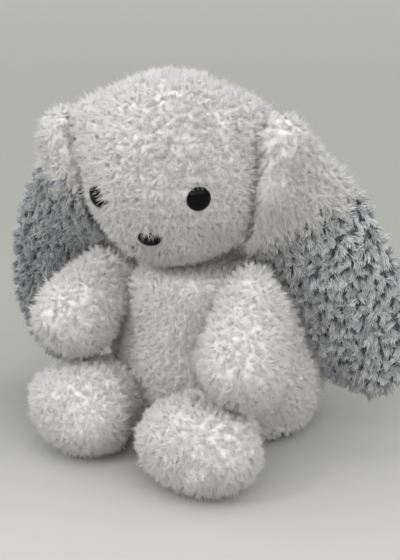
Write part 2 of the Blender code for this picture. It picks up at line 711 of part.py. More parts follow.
def make_ear(side, white, grey, yarn, frame):
    root, normal, sections = ear_sections(side)
    turn_about = pivot(f"ear_{side}_lift", HEAD_SEAT @ Matrix.Translation(root), frame)
    split = EAR_SHAPE.index(next(row for row in EAR_SHAPE if row[0] == EAR_WHITE_SHARE))
    to_root = Matrix.Translation(-root)
    along = (sections[1][0] - sections[0][0]).normalized()
    # the round root, centred on the pivot
    cap = [[root - along * EAR_ROOT_RADIUS]]
    for k in (3, 2, 1):
        lean = math.pi / 2 * k / 4
        centre = root - along * EAR_ROOT_RADIUS * math.sin(lean)
        cap.append(ear_ring((centre, *sections[0][1:]), math.cos(lean)))
    white_rings = cap + [ear_ring(s) for s in sections[: split + 1]]
    direction = (sections[split + 1][0] - sections[split][0]).normalized()
    start = [p + direction * GAP for p in ear_ring(sections[split])]
    grey_rings = [start] + [ear_ring(s) for s in sections[split + 1 :]]
    last = sections[-1]
    tail_end = last[0] + (last[0] - sections[-2][0]) * 0.35
    grey_rings.append([tail_end])
    for colour, rings, fabric in (("white", white_rings, white), ("grey", grey_rings, grey)):
        if side == "right":  # mirrored, so the rings run the other way round
            rings = [list(reversed(ring)) for ring in rings]
        obj = loft(f"ear_{side}_{colour}", rings, fabric)
        obj.data.transform(to_root)
        put(obj, turn_about, Matrix.Identity(4))
    seat = HEAD_SEAT @ aim(root, normal, Vector((0, 1, 0)))
    return seam_ring(f"ear_{side}_seam", EAR_ROOT_RADIUS, seat, yarn, frame)


# ---------------------------------------------------------------- the bunny


def main():
    clear_scene()
    white = make_material("white_yarn", (0.82, 0.80, 0.84), 0.95)
    grey = make_material("grey_yarn", (0.36, 0.38, 0.44), 0.95)
    filling = make_material("fibre_filling", (0.93, 0.93, 0.92), 1.0)
    yarn = make_material("sewing_yarn", (0.78, 0.76, 0.80), 0.9)
    plastic = make_material("black_plastic", (0.01, 0.01, 0.012), 0.12)
    washer = make_material("washer_plastic", (0.75, 0.76, 0.78), 0.5)

    cutters = make_tail(white, filling, yarn)
    for side in SIDES:
        cutters += make_arm(side, white, filling, yarn)
        cutters += make_leg(side, white, filling, yarn)
    make_torso(white, filling, cutters)

    neck_frame = make_neck_seam(yarn)
    frame, head = make_head(white, filling, yarn, plastic, washer, neck_frame)
    for side in SIDES:
        for cutter in make_ear(side, white, grey, yarn, frame):
            cut(head, cutter, cutter.name)


main()
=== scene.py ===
import json
import math

import bpy
import numpy as np
from mathutils import Matrix, Vector


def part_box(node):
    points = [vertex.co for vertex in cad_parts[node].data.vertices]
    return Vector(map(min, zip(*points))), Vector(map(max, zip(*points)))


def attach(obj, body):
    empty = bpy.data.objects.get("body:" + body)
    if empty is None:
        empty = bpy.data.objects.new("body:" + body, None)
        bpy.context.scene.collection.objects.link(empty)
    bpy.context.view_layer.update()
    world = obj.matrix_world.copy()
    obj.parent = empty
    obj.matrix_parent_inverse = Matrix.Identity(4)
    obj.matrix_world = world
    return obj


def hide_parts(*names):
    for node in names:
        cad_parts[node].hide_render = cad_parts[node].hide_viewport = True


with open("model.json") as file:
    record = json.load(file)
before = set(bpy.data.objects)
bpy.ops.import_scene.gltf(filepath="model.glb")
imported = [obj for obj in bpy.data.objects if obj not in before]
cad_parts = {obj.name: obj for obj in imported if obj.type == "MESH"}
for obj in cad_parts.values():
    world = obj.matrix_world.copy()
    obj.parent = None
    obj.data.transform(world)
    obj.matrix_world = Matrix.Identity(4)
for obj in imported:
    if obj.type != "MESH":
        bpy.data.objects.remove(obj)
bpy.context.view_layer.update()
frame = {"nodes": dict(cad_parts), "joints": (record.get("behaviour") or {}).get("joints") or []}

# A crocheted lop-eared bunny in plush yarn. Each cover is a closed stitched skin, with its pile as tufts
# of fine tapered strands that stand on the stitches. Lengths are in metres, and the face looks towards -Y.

MM = 0.001
JOINTS = {joint["name"]: joint for joint in frame["joints"]}
RNG = np.random.default_rng(41)

# Yarn
STITCH = 7.5 * MM  # a stitch's width and a course's height
SKIN_DEPTH = 3.6 * MM  # how far the stitched skin lies inside the cover's outline, to leave room for pile
STITCH_RISE = 1.4 * MM
PILE_LENGTH = 6.2 * MM
FLOOR_SOFTNESS = 1.6 * MM  # pile that would pass through the floor is pressed flat below this height
TUFT_SINK = 0.4 * MM  # how far a tuft's foot is set into its stitch
STRAND_SINK = 0.3 * MM  # and a strand's root below that
LUMP_RISE = 0.7 * MM  # unevenness of the stuffed covers
LUMP_WIDTH = 26 * MM
PROFILE_STEP = 1.2 * MM  # between the points of a turned outline
SLIVER = 0.05 * MM  # the least radius of a ring, so that none shrinks to a point

# Head
HEAD_RADIUS = 45.5 * MM
HEAD_HALF_HEIGHT = 49.5 * MM
HEAD_YAW = math.radians(17.5)
HEAD_ROLL = math.radians(-2.5)
FACE_TURN = math.radians(-3)  # the eyes and nose are set a little to the right of the head's middle
EYE_AZIMUTH = math.radians(37.3)
EYE_LATITUDE = math.radians(-11.5)
EYE_RADIUS = 6 * MM
EYE_DOME = 4.4 * MM
NOSE_LATITUDE = math.radians(-39.5)
NOSE_HALF_WIDTH = 5.8 * MM
NOSE_HALF_HEIGHT = 4.4 * MM
NOSE_DOME = 3.6 * MM
FACE_RECESS = 2.0 * MM  # how deep a dome's back is pulled into the pile
SHANK_LENGTH = 16 * MM
SHANK_RADIUS = 1.8 * MM
SHANK_TIP_RADIUS = 1.1 * MM
DOME_BACK = 0.4 * MM
DOME_EDGE = 0.8 * MM  # straight edge of a dome before it curves

HEAD_SWELLS = [  # azimuth, latitude and spread in degrees, and rise: over each ear's root, and the left cheek
    (95, 26, 15, 12 * MM), (-86, 34, 14, 9 * MM), (-86, 19, 13, 7 * MM), (68, -22, 22, 4.5 * MM),
]

UP = np.array((0.0, 0.0, 1.0))
SIDES = {"left": 1, "right": -1}


# ---------------------------------------------------------------- arithmetic


def unit(v):
    return v / np.maximum(np.linalg.norm(v, axis=-1, keepdims=True), 1e-12)


def waves(points, wavelength, seed):
    """Smooth bumps from about -1 to 1, from sine waves in fixed random directions."""
    rng = np.random.default_rng(seed)
    total = np.zeros(points.shape[:-1])
    count = 7
    for _ in range(count):
        k = unit(rng.normal(size=3)) * 2 * math.pi / (wavelength * rng.uniform(0.7, 1.5))
        total += np.sin(points @ k + rng.uniform(0, 2 * math.pi))
    return total / math.sqrt(count)


def smooth_line(points, steps):
    """Points on a Catmull-Rom curve through the given points, steps to each span."""
    points = [np.array(p, float) for p in points]
    ends = [points[0] * 2 - points[1], *points, points[-1] * 2 - points[-2]]
    line = []
    for i in range(len(points) - 1):
        a, b, c, d = ends[i : i + 4]
        for t in np.arange(steps) / steps:
            point = b * 2 + (c - a) * t + (a * 2 - b * 5 + c * 4 - d) * t**2
            line.append((point + (b * 3 - a - c * 3 + d) * t**3) / 2)
    return np.array([*line, points[-1]])


def evenly(line, step):
    """The line's points, moved along it until they are evenly spaced."""
    length = np.concatenate([[0], np.cumsum(np.linalg.norm(np.diff(line, axis=0), axis=1))])
    at = np.linspace(0, length[-1], max(8, round(length[-1] / step)))
    return np.stack([np.interp(at, length, line[:, k]) for k in range(line.shape[1])], 1)


def aim(along, side_hint=UP):
    """Columns x, y, z: z along a direction, and y as near side_hint as it can be."""
    z = unit(np.array(along, float))
    y = unit(side_hint - z * (side_hint @ z))
    return np.stack([np.cross(y, z), y, z], 1)


def above_floor(points, softness=FLOOR_SOFTNESS):
    """Presses whatever is near or under the floor into a thin layer on it, in the same order."""
    z = points[..., 2]
    points[..., 2] = np.where(z > softness, z, softness * np.exp(np.minimum(z / softness - 1, 0)))
    return points


# ---------------------------------------------------------------- skins


class Skin:
    """A closed smooth surface as rings of points. It is sampled by distance along it and share of a turn."""

    def __init__(self, rings, seed, depth=SKIN_DEPTH):
        rings = self._even_rings(rings)
        self._measure(rings)
        rings = rings - self.normal * depth
        self._measure(rings)
        rings = rings + self.normal * (waves(rings, LUMP_WIDTH, seed) * LUMP_RISE)[..., None]
        self._measure(above_floor(rings))

    @staticmethod
    def _even_rings(rings):
        """Spaces each ring's points evenly round it, from its first point."""
        count = rings.shape[1]
        out = np.empty_like(rings)
        for i, ring in enumerate(rings):
            loop = np.vstack([ring, ring[:1]])
            length = np.concatenate([[0], np.cumsum(np.linalg.norm(np.diff(loop, axis=0), axis=1))])
            at = np.linspace(0, length[-1], count + 1)[:-1]
            out[i] = np.stack([np.interp(at, length, loop[:, k]) for k in range(3)], 1)
        return out

    def _measure(self, rings):
        self.rings = rings
        along = np.gradient(rings, axis=0)
        around = np.roll(rings, -1, 1) - np.roll(rings, 1, 1)
        normal = unit(np.cross(around, along))
        self.outward = 1 if np.sum(normal * (rings - rings.mean((0, 1)))) > 0 else -1
        self.normal = normal * self.outward
        self.along = unit(along)
        steps = np.linalg.norm(np.diff(rings, axis=0), axis=2).mean(1)
        self.distance = np.concatenate([[0], np.cumsum(steps)])
        self.girth = np.linalg.norm(np.roll(rings, -1, 1) - rings, axis=2).sum(1)
        self.length = self.distance[-1]
        self.courses = max(2, round(self.length / STITCH))
        middles = (np.arange(self.courses) + 0.5) * self.length / self.courses
        girths = np.interp(middles, self.distance, self.girth)
        self.counts = np.maximum(4, np.round(girths / STITCH)).astype(int)

    def sample(self, field, s, u):
        rows, columns = field.shape[:2]
        row = np.interp(s, self.distance, np.arange(rows))
        i = np.minimum(row.astype(int), rows - 2)
        f = (row - i)[..., None]
        column = (u % 1.0) * columns
        j = column.astype(int) % columns
        g = (column - np.floor(column))[..., None]
        k = (j + 1) % columns
        low = field[i, j] * (1 - g) + field[i, k] * g
        high = field[i + 1, j] * (1 - g) + field[i + 1, k] * g
        return low * (1 - f) + high * f

    def stitch_dome(self, s, u):
        """0 in the furrows between stitches, up to 1 on top of each."""
        course = np.clip(s / self.length * self.courses, 0, self.courses - 1e-6)
        k = course.astype(int)
        a = (course - k) * 2 - 1
        b = ((u * self.counts[k] - 0.5 * (k % 2)) % 1.0) * 2 - 1
        return np.sqrt(np.maximum(0, (1 - a * a) * (1 - b * b)))

    def mesh(self, name, material, start=0.0, end=1.0):
        """The stitched skin as a closed mesh, between two shares of the length."""
        columns = int(max(self.counts) * 4)
        rows = max(6, round((end - start) * self.length / STITCH * 4))
        s = np.linspace(start, end, rows + 1) * self.length
        grid_s, grid_u = np.meshgrid(s, np.arange(columns) / columns, indexing="ij")
        points = self.sample(self.rings, grid_s, grid_u)
        normal = unit(self.sample(self.normal, grid_s, grid_u))
        points = points + normal * (self.stitch_dome(grid_s, grid_u) * STITCH_RISE)[..., None]
        first, last = points[0].mean(0), points[-1].mean(0)
        verts = np.vstack([points.reshape(-1, 3), [first, last]])
        index = np.arange((rows + 1) * columns).reshape(rows + 1, columns)
        nxt = np.roll(index, -1, 1)
        quads = np.stack([index[:-1], index[1:], nxt[1:], nxt[:-1]], -1).reshape(-1, 4)
        bottom = np.stack([np.full(columns, len(verts) - 2), index[0], nxt[0]], -1)
        top = np.stack([np.full(columns, len(verts) - 1), nxt[-1], index[-1]], -1)
        if self.outward > 0:
            quads, bottom, top = quads[:, ::-1], bottom[:, ::-1], top[:, ::-1]
        tris = np.vstack([bottom, top])
        return make_mesh(name, verts, quads, tris, material)


def make_mesh(name, verts, quads, tris, material, uv=None):
    """A mesh object from arrays. uv has a row for each corner, quads first."""
    mesh = bpy.data.meshes.new(name)
    loops = np.concatenate([quads.ravel(), tris.ravel()])
    starts = np.concatenate([np.arange(len(quads)) * 4, len(quads) * 4 + np.arange(len(tris)) * 3])
    mesh.vertices.add(len(verts))
    mesh.vertices.foreach_set("co", np.ascontiguousarray(verts, np.float32).ravel())
    mesh.loops.add(len(loops))
    mesh.loops.foreach_set("vertex_index", loops.astype(np.int32))
    mesh.polygons.add(len(starts))
    mesh.polygons.foreach_set("loop_start", starts.astype(np.int32))
    mesh.update(calc_edges=True)
    if uv is not None:
        layer = mesh.uv_layers.new(name="OFBake")
        layer.data.foreach_set("uv", np.ascontiguousarray(uv, np.float32).ravel())
    mesh.shade_smooth()
    mesh.materials.append(material)
    obj = bpy.data.objects.new(name, mesh)
    bpy.context.scene.collection.objects.link(obj)
    return obj


# ---------------------------------------------------------------- pile


class Tufts:
    """Where tufts stand and which way they lean, as arrays with a row for each tuft."""

    def __init__(self, skin, grid=(3, 5)):
        """grid is how many tufts stand on a stitch, up it and across it."""
        s, u, a, b = [], [], [], []
        height = skin.length / skin.courses
        for k, count in enumerate(skin.counts):
            upward, across = ((np.arange(n) * 2 + 1) / n - 1 for n in grid)
            cell_a, cell_b, m = np.meshgrid(upward, across, np.arange(count), indexing="ij")
            cell_a = (cell_a + RNG.uniform(-0.9, 0.9, cell_a.shape) / grid[0]).ravel()
            cell_b = (cell_b + RNG.uniform(-0.9, 0.9, cell_b.shape) / grid[1]).ravel()
            s.append((k + 0.5 + 0.5 * cell_a) * height)
            u.append((m.ravel() + 0.5 + 0.5 * (k % 2) + 0.5 * cell_b) / count)
            a.append(cell_a)
            b.append(cell_b)
        s, u, a, b = (np.concatenate(v) for v in (s, u, a, b))
        # where a ring is too small for its stitches, fewer tufts stand
        course = np.clip((s / height).astype(int), 0, skin.courses - 1)
        room = np.interp(s, skin.distance, skin.girth) / (skin.counts[course] * STITCH)
        keep = RNG.random(len(s)) < np.minimum(1, room + 0.1)
        self.s, self.u, a, b = s[keep], u[keep] % 1.0, a[keep], b[keep]
        self.share = self.s / skin.length
        self.at = skin.sample(skin.rings, self.s, self.u)
        self.normal = unit(skin.sample(skin.normal, self.s, self.u))
        self.along = unit(skin.sample(skin.along, self.s, self.u))
        self.around = unit(np.cross(self.normal, self.along))
        rise = skin.stitch_dome(self.s, self.u) * STITCH_RISE - TUFT_SINK
        self.at = self.at + self.normal * rise[:, None]
        self.outwards = a[:, None] * self.along + b[:, None] * self.around * np.sign(
            np.einsum("ij,ij->i", self.around, self._turnwards(skin)))[:, None]
        self.length = np.full(len(a), PILE_LENGTH)
        self.comb = np.zeros_like(self.at) - 0.2 * UP

    def _turnwards(self, skin):
        """The way the surface runs as the share of a turn grows."""
        step = 0.25 * STITCH / np.interp(self.s, skin.distance, skin.girth)
        ahead = skin.sample(skin.rings, self.s, self.u + step)
        return ahead - skin.sample(skin.rings, self.s, self.u - step)

    def select(self, keep):
        for key in ("s", "u", "share", "at", "normal", "along", "around", "outwards", "length", "comb"):
            setattr(self, key, getattr(self, key)[keep])
        return self


def strands(tufts, look, seed):
    """Each tuft's strands: root and tip, the skin's normal under them, and which tuft each is in."""
    rng = np.random.default_rng(seed)
    n, per_tuft = len(tufts.at), look["per_tuft"]
    astray = look["wild"] * rng.normal(size=(n, 3)) * 0.58
    direction = unit(tufts.normal + look["lean"] * tufts.outwards + tufts.comb + astray)
    length = tufts.length * rng.uniform(0.78, 1.18, n)
    turn = rng.uniform(0, 2 * math.pi, (n, per_tuft))
    far = np.sqrt((np.arange(per_tuft) + rng.uniform(0.1, 1, (n, per_tuft))) / per_tuft)
    side = unit(np.cross(tufts.normal, np.array((0.31, 0.53, 0.79))))
    other = np.cross(tufts.normal, side)
    disc = (np.cos(turn) * far)[..., None] * side[:, None] + (np.sin(turn) * far)[..., None] * other[:, None]
    own = unit(direction[:, None] + look["loose"] * rng.normal(size=(n, per_tuft, 3)))
    long = (length[:, None] * rng.uniform(0.7, 1.1, (n, per_tuft)) * (1.08 - 0.2 * far))[..., None]
    root = tufts.at[:, None] + disc * look["spread"] - tufts.normal[:, None] * STRAND_SINK
    tip = root + own * long - disc * look["spread"] * look["closing"]
    tip = tip + rng.normal(size=tip.shape) * 0.2 * MM
    normal = np.repeat(tufts.normal, per_tuft, 0)
    return root.reshape(-1, 3), tip.reshape(-1, 3), normal, np.repeat(np.arange(n), per_tuft)


def strand_arrays(root, tip, normal, width, bent, soft):
    """Corner points and shading normals of three-sided tapered strands. A straight one has four corners, and
    a bent one has seven. soft is how far the shading follows the skin's normal, as a deep pile's does."""
    n = len(root)
    axis = unit(tip - root)
    side = unit(np.cross(axis, np.array((0.61, -0.37, 0.7))))
    other = np.cross(axis, side)
    corners = 7 if bent else 4
    verts, normals = np.empty((n, corners, 3)), np.empty((n, corners, 3))
    spin = RNG.uniform(0, 2 * math.pi, n)
    length = np.linalg.norm(tip - root, axis=1)[:, None]
    middle = root + (tip - root) * 0.5 + normal * length * 0.13
    for k in range(3):
        a = spin + k * 2 * math.pi / 3
        out = np.cos(a)[:, None] * side + np.sin(a)[:, None] * other
        verts[:, k] = root + out * width
        normals[:, k] = out
        if bent:
            verts[:, 3 + k] = middle + out * width * 0.95
            normals[:, 3 + k] = out
    verts[:, -1] = tip
    normals[:, -1] = axis
    return above_floor(verts), unit(normals * (1 - soft) + normal[:, None] * soft)


def pile_mesh(name, verts, normals, tone, material):
    """Strands as one mesh. The map's U is each strand's tone, and V runs from root to tip."""
    n, corners = verts.shape[:2]
    base = np.arange(n)[:, None] * corners
    wide = 0.02
    left = np.clip(tone, 0, 1) * (1 - wide)
    shift = np.stack([left, 0 * left], -1)[:, None]
    cap_uv = np.array([[0, 0], [wide, 0], [wide / 2, 0.03]])

    def every_strand(faces):
        return (base[:, :, None] + np.array(faces)[None]).reshape(-1, len(faces[0]))

    if corners == 7:
        quads = every_strand([[0, 1, 4, 3], [1, 2, 5, 4], [2, 0, 3, 5]])
        tris = every_strand([[3, 4, 6], [4, 5, 6], [5, 3, 6], [2, 1, 0]])
        quad_uv = np.array([[0, 0], [wide, 0], [wide, 0.5], [0, 0.5]])
        tip_uv = np.array([[0, 0.5], [wide, 0.5], [wide / 2, 1]])
        quad_part = (np.tile(quad_uv, (3, 1))[None] + shift).reshape(-1, 2)
    else:
        quads = np.zeros((0, 4), int)
        tris = every_strand([[0, 1, 3], [1, 2, 3], [2, 0, 3], [2, 1, 0]])
        tip_uv = np.array([[0, 0], [wide, 0], [wide / 2, 1]])
        quad_part = np.zeros((0, 2))
    tri_part = (np.vstack([tip_uv, tip_uv, tip_uv, cap_uv])[None] + shift).reshape(-1, 2)
    obj = make_mesh(name, verts.reshape(-1, 3), quads, tris, material, np.vstack([quad_part, tri_part]))
    obj.data.normals_split_custom_set_from_vertices(normals.reshape(-1, 3))
    return obj


def tones(points, tuft, look, seed):
    """Each strand's tone from 0, shaded, to 1, bright: broad patches, its tuft's and a little of its own."""
    rng = np.random.default_rng(seed)
    patches = look["patch"] * waves(points, PATCH_WIDTH, seed)
    tone = 0.5 + patches + look["clump"] * rng.normal(size=tuft.max() + 1)[tuft]
    tone = np.clip(tone + look["single"] * rng.normal(size=len(points)), 0, 1)
    return np.clip(tone + look["bias"], 0, 1)


# ---------------------------------------------------------------- materials


def new_material(name):
    material = bpy.data.materials.new(name)
    material.use_nodes = True
    tree = material.node_tree
    return material, tree.nodes, tree.links, tree.nodes["Principled BSDF"]


def ramp(nodes, stops):
    node = nodes.new("ShaderNodeValToRGB")
    elements = node.color_ramp.elements
    while len(elements) < len(stops):
        elements.new(0.5)
    for element, (place, colour) in zip(elements, stops):
        element.position = place
        element.color = (*colour, 1)
    return node


MATT = 0.95  # roughness of yarn


def pile_material(name, dark, light):
    """Colours run from root to tip by the map's V, darker at the root as painted shade down among the
    strands, in two tones mixed by its U. dark and light are stops.
    """
    material, nodes, links, shader = new_material(name)
    uv = nodes.new("ShaderNodeUVMap")
    uv.uv_map = "OFBake"
    split = nodes.new("ShaderNodeSeparateXYZ")
    low, high = ramp(nodes, dark), ramp(nodes, light)
    mix = nodes.new("ShaderNodeMix")
    mix.data_type = "RGBA"
    links.new(uv.outputs["UV"], split.inputs[0])
    links.new(split.outputs["Y"], low.inputs[0])
    links.new(split.outputs["Y"], high.inputs[0])
    links.new(split.outputs["X"], mix.inputs["Factor"])
    links.new(low.outputs["Color"], mix.inputs[6])
    links.new(high.outputs["Color"], mix.inputs[7])
    links.new(mix.outputs[2], shader.inputs["Base Color"])
    shader.inputs["Roughness"].default_value = MATT
    shader.inputs["Sheen Weight"].default_value = 0.25
    shader.inputs["Sheen Roughness"].default_value = 0.6
    shader.inputs["Specular IOR Level"].default_value = 0.2
    return material


def yarn_material(name, low, high, scale=420, bump=0.3):
    """A matt yarn body, mottled between two colours."""
    material, nodes, links, shader = new_material(name)
    place = nodes.new("ShaderNodeTexCoord")
    noise = nodes.new("ShaderNodeTexNoise")
    noise.inputs["Scale"].default_value = scale
    noise.inputs["Detail"].default_value = 4
    colours = ramp(nodes, [(0.3, low), (0.7, high)])
    bumps = nodes.new("ShaderNodeBump")
    bumps.inputs["Strength"].default_value = bump
    bumps.inputs["Distance"].default_value = 0.4 * MM
    links.new(place.outputs["Object"], noise.inputs["Vector"])
    links.new(noise.outputs["Fac"], colours.inputs[0])
    links.new(noise.outputs["Fac"], bumps.inputs["Height"])
    links.new(bumps.outputs["Normal"], shader.inputs["Normal"])
    links.new(colours.outputs["Color"], shader.inputs["Base Color"])
    shader.inputs["Roughness"].default_value = MATT
    shader.inputs["Specular IOR Level"].default_value = 0.15
    return material


def plastic_material(name, colour, roughness, specular=0.5):
    """Moulded plastic with faint unevenness in its polish."""
    material, nodes, links, shader = new_material(name)
    place = nodes.new("ShaderNodeTexCoord")
    noise = nodes.new("ShaderNodeTexNoise")
    noise.inputs["Scale"].default_value = 260
    spread = nodes.new("ShaderNodeMapRange")
    spread.inputs["To Min"].default_value = roughness * 0.8
    spread.inputs["To Max"].default_value = roughness * 1.35
    links.new(place.outputs["Object"], noise.inputs["Vector"])
    links.new(noise.outputs["Fac"], spread.inputs["Value"])
    links.new(spread.outputs["Result"], shader.inputs["Roughness"])
    shader.inputs["Base Color"].default_value = (*colour, 1)
    shader.inputs["Specular IOR Level"].default_value = specular
    return material


# Both piles darken from tip to root: painted shade down among the strands, tinted lavender in the white.
WHITE_PILE = pile_material(
    "plush_white",
    dark=[(0.0, (0.64, 0.605, 0.63)), (0.45, (0.80, 0.775, 0.785)), (1.0, (0.89, 0.88, 0.87))],
    light=[(0.0, (0.73, 0.70, 0.72)), (0.45, (0.88, 0.865, 0.865)), (1.0, (0.94, 0.935, 0.92))],
)
GREY_PILE = pile_material(
    "plush_grey",
    dark=[(0.0, (0.08, 0.08, 0.105)), (0.4, (0.25, 0.255, 0.285)), (1.0, (0.46, 0.475, 0.49))],
    light=[(0.0, (0.14, 0.14, 0.17)), (0.4, (0.55, 0.56, 0.58)), (1.0, (0.93, 0.95, 0.95))],
)
# The stitched skins are about as dark as the pile's roots: painted shade where the skin shows between the
# tufts.
WHITE_YARN = yarn_material("yarn_white", (0.68, 0.65, 0.67), (0.80, 0.78, 0.785))
GREY_YARN = yarn_material("yarn_grey", (0.08, 0.08, 0.10), (0.18, 0.18, 0.21))
SEWING_YARN = yarn_material("sewing_yarn_look", (0.5, 0.49, 0.51), (0.74, 0.72, 0.73), scale=1500)
FIBRE = yarn_material("fibre_filling_look", (0.72, 0.72, 0.70), (0.92, 0.92, 0.90), scale=900, bump=0.6)
BLACK_PLASTIC = plastic_material("black_plastic_look", (0.002, 0.002, 0.0025), 0.2, specular=0.1)
WASHER_PLASTIC = plastic_material("washer_plastic_look", (0.72, 0.73, 0.75), 0.4)


# ---------------------------------------------------------------- where things are


def joint_at(name):
    return np.array(JOINTS[name]["pos_m"], float)


def rotation(angle, axis):
    return np.array(Matrix.Rotation(angle, 3, axis), float)


NECK = joint_at("head_nod")
HEAD_TURNED = rotation(HEAD_YAW, "Z") @ rotation(HEAD_ROLL, "Y")
HEAD_CENTRE = sum(np.array(corner, float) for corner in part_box("head_cover")) / 2
COLUMNS = 192
ROUND = np.linspace(0, 2 * math.pi, COLUMNS, endpoint=False)


def turned_rings(profile, squash=None):
    """Rings about +Z for a profile of (radius, height), flattened in Y by squash(height) where given."""
    rings = np.zeros((len(profile), COLUMNS, 3))
    for i, (radius, height) in enumerate(profile):
        radius = max(radius, SLIVER)
        flat = squash(height) if squash else 1
        rings[i] = np.stack(
            [radius * np.cos(ROUND), radius * flat * np.sin(ROUND), np.full(COLUMNS, height)], 1)
    return rings


def outline_through(marks):
    """A smooth outline of (radius, height) through the marks, evenly spaced."""
    return evenly(smooth_line(marks, 8), PROFILE_STEP)


# ---------------------------------------------------------------- torso and tail

TORSO_BULGE_AZIMUTH = math.radians(-55)  # the filling bulges on the right, between the arm and the leg
TORSO_BULGE_WIDTH = math.radians(30)
TORSO_BULGE_HEIGHT = 50 * MM
TORSO_BULGE_TALL = 17 * MM
TORSO_BULGE_RISE = 6.5 * MM
TAIL_RADIUS = 15 * MM


def spine(height):
    share = np.minimum(np.maximum(height, 0) / NECK[2], 1)
    return np.stack([0 * share, NECK[1] * share**2, 0 * share + height], -1)


def torso_rings():
    neck = NECK[2]
    marks = [
        (0, 0), (20 * MM, 0), (39 * MM, 0), (51 * MM, 0.05 * neck), (56 * MM, 0.15 * neck),
        (59.5 * MM, 0.27 * neck), (59 * MM, 0.44 * neck), (54.5 * MM, 0.66 * neck), (50.5 * MM, 0.86 * neck),
        (42 * MM, neck), (22 * MM, neck + 11.5 * MM), (0, neck + 19 * MM),
    ]
    profile = outline_through(marks)
    rings = turned_rings(profile)
    out = np.stack([np.cos(ROUND), np.sin(ROUND), 0 * ROUND], 1)
    middle = (math.sin(TORSO_BULGE_AZIMUTH), -math.cos(TORSO_BULGE_AZIMUTH), 0)
    turned = np.arccos(np.clip(out @ middle, -1, 1)) / TORSO_BULGE_WIDTH
    level = (profile[:, 1] - TORSO_BULGE_HEIGHT) / TORSO_BULGE_TALL
    rings = rings + out * (TORSO_BULGE_RISE * np.exp(-0.5 * (turned**2 + level[:, None] ** 2)))[..., None]
    rings[..., 2] = 0
    return rings + spine(profile[:, 1])[:, None]


def tail_rings():
    low, high = (np.array(corner, float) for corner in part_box("tail_cover"))
    centre = np.array(((low[0] + high[0]) / 2, high[1] - TAIL_RADIUS, (low[2] + high[2]) / 2))
    turns = np.linspace(math.pi, 0, 40)
    rings = turned_rings(np.stack([TAIL_RADIUS * np.sin(turns), TAIL_RADIUS * np.cos(turns)], 1))
    return rings @ aim((0, 1, 0)).T + centre


# ---------------------------------------------------------------- head


def towards(azimuth, latitude):
    """A direction from the head's centre, in its own frame: azimuth 0 is straight ahead."""
    level = math.cos(latitude)
    return np.array((math.sin(azimuth) * level, -math.cos(azimuth) * level, math.sin(latitude)))


def head_rings():
    turns = np.linspace(math.pi, 0, 120)
    profile = np.stack([HEAD_RADIUS * np.sin(turns), HEAD_HALF_HEIGHT * np.cos(turns)], 1)
    rings = turned_rings(profile)
    out = unit(rings)
    for azimuth, latitude, spread, rise in HEAD_SWELLS:
        middle = towards(math.radians(azimuth), math.radians(latitude))
        away = np.arccos(np.clip(out @ middle, -1, 1)) / math.radians(spread)
        rings = rings + out * (rise * np.exp(-0.5 * away**2))[..., None]
    return rings @ HEAD_TURNED.T + HEAD_CENTRE


def head_point(azimuth, latitude):
    """A point on the head's cover and its outward normal, in the world."""
    out = towards(azimuth, latitude)
    radii = np.array((HEAD_RADIUS, HEAD_RADIUS, HEAD_HALF_HEIGHT))
    at = out / np.linalg.norm(out / radii)
    return HEAD_TURNED @ at + HEAD_CENTRE, unit(HEAD_TURNED @ (at / radii**2))


def face_frame(azimuth, latitude):
    """Origin and axes of a safety eye or nose: z points out of the face, y is up."""
    point, normal = head_point(azimuth, latitude)
    return point - normal * FACE_RECESS, aim(normal)


def dome_piece(name, place, half_width, half_height, dome):
    """A moulded dome with a rolled edge, on a shank that goes in through the cover."""
    origin, axes = place
    steps = 20
    turns = np.linspace(0, math.pi / 2, steps)
    outline = [
        (0, -SHANK_LENGTH), (SHANK_TIP_RADIUS, -SHANK_LENGTH), (SHANK_RADIUS, -15 * MM),
        (SHANK_RADIUS, DOME_BACK), (half_width - 0.5 * MM, DOME_BACK), (half_width - 0.1 * MM, 0.55 * MM),
    ]
    outline += [(half_width * math.cos(t), DOME_EDGE + (dome - DOME_EDGE) * math.sin(t)) for t in turns]
    columns = 64
    round_ = np.linspace(0, 2 * math.pi, columns, endpoint=False)
    rings = []
    for radius, height in outline[1:-1]:
        # the shank is round, and the dome is as wide and as tall as it is told to be
        squash = half_height / half_width if height >= DOME_BACK else 1
        rings.append(np.stack(
            [radius * np.cos(round_), radius * squash * np.sin(round_), np.full(columns, height)], 1))
    rings = np.array(rings)
    rings = rings @ axes.T + origin
    rows = len(rings)
    ends = np.array([axes @ (0, 0, h) + origin for h in (outline[0][1], dome)])
    index = np.arange(rows * columns).reshape(rows, columns)
    nxt = np.roll(index, -1, 1)
    quads = np.stack([index[:-1], nxt[:-1], nxt[1:], index[1:]], -1).reshape(-1, 4)
    bottom = np.stack([np.full(columns, rows * columns), nxt[0], index[0]], -1)
    top = np.stack([np.full(columns, rows * columns + 1), index[-1], nxt[-1]], -1)
    verts, tris = np.vstack([rings.reshape(-1, 3), ends]), np.vstack([bottom, top])
    obj = make_mesh(name, verts, quads, tris, BLACK_PLASTIC)
    obj.data.set_sharp_from_angle(angle=math.radians(60))
    return obj


# ---------------------------------------------------------------- limbs

ARM_ROOT = 13 * MM
ARM_WRIST = 18 * MM
PAW_RADIUS = {"left": 22 * MM, "right": 23 * MM}
ARM_REACH = {"left": 47 * MM, "right": 44 * MM}  # to the middle of the paw
ARM_OUT = {"left": math.radians(25), "right": math.radians(18)}
ARM_DOWN = math.radians(40)  # below level
ARM_HANG = {"left": 0.0, "right": math.radians(12)}  # the right arm hangs lower, swung about its joint

LEG_ROOT = {"left": 17 * MM, "right": 23 * MM}
LEG_LENGTH = 20 * MM  # to the middle of the foot
LEG_OUT = {"left": 0.0, "right": math.radians(6)}
FOOT_RADIUS = {"left": 34.5 * MM, "right": 33 * MM}
FOOT_HALF_HEIGHT = {"left": 25.5 * MM, "right": 26 * MM}
FOOT_CENTRE_HEIGHT = 25.5 * MM
TOE_LENGTH = {"left": 26 * MM, "right": 27 * MM}


